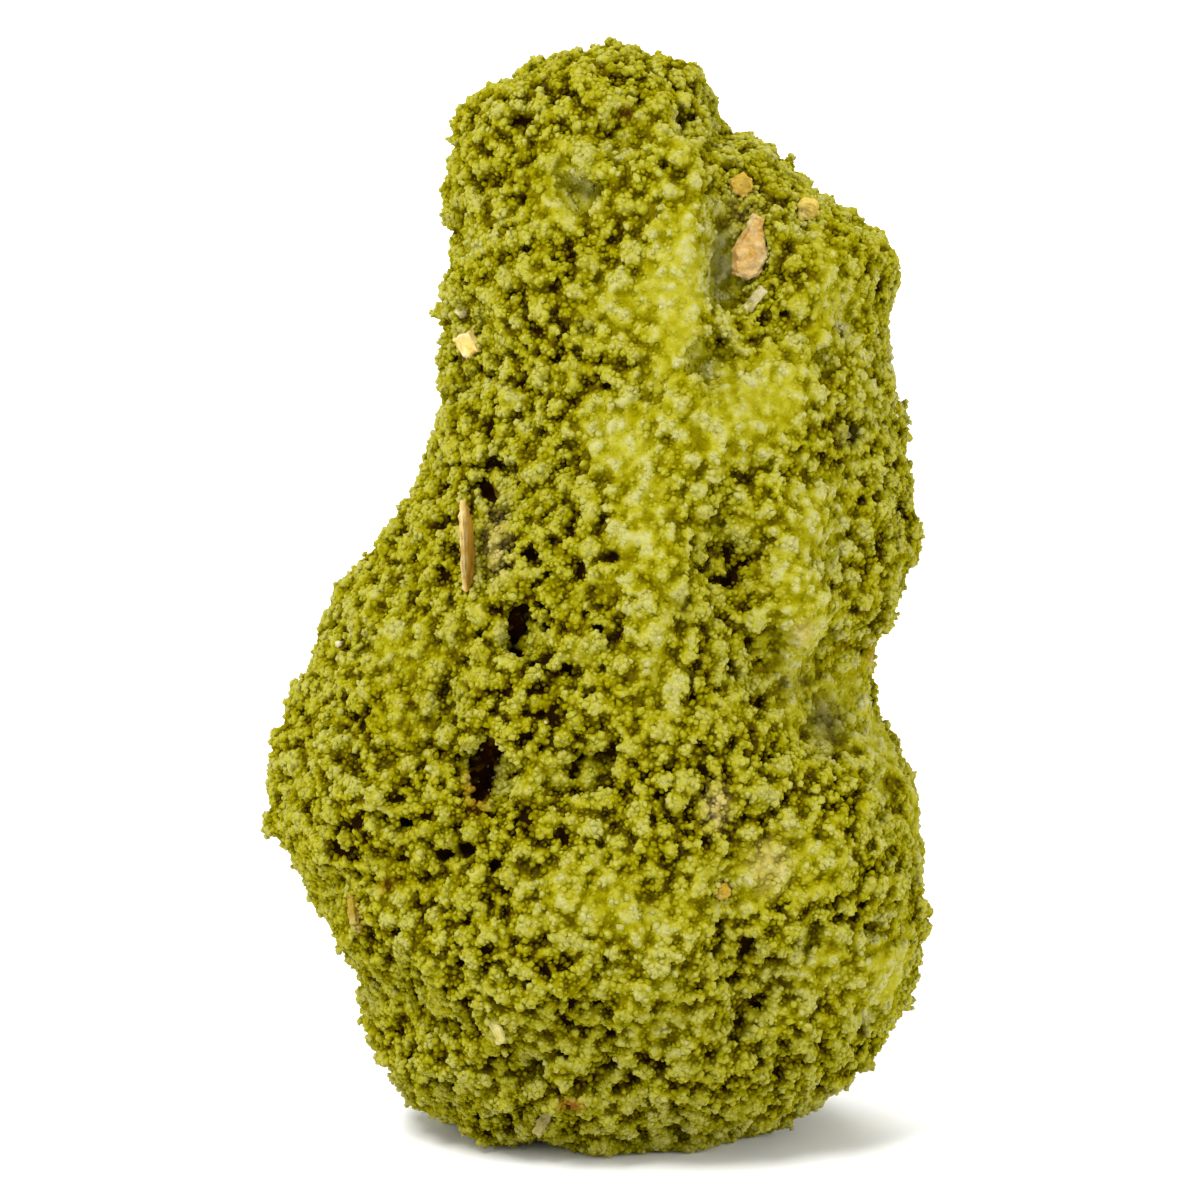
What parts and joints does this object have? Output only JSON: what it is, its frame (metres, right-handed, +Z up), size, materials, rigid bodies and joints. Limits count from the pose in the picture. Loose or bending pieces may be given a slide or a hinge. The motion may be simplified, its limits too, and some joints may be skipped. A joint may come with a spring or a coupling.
{
  "type": "nontronite specimen",
  "caption": "Upright hand specimen of granular yellow-green nontronite clay with pits, ridges and small embedded tan and white flakes, standing on a flat worn base.",
  "frame": {"origin": "middle of the footprint of the whole specimen's box, on the flat worn base", "axes": "+Z up along the specimen's height, +X to the right seen from the front, +Y towards the back"},
  "size_m": [0.0462, 0.0362, 0.0744],
  "materials": {
    "nontronite_clay": "matte granular clay crust",
    "tan_flake": "matte",
    "pale_lath": "matte",
    "brown_lath": "matte",
    "amber_grain": "satin"
  },
  "bodies": {
    "root": {"nontronite_mass": "nontronite_clay", "flake_large": "tan_flake", "flake_upper": "tan_flake", "flake_shoulder": "tan_flake", "flake_left": "tan_flake", "blade_left": "pale_lath", "lath_base": "pale_lath", "lath_valley": "pale_lath", "lath_low": "pale_lath", "lath_brown": "brown_lath", "grain_amber": "amber_grain"}
  },
  "joints": []
}
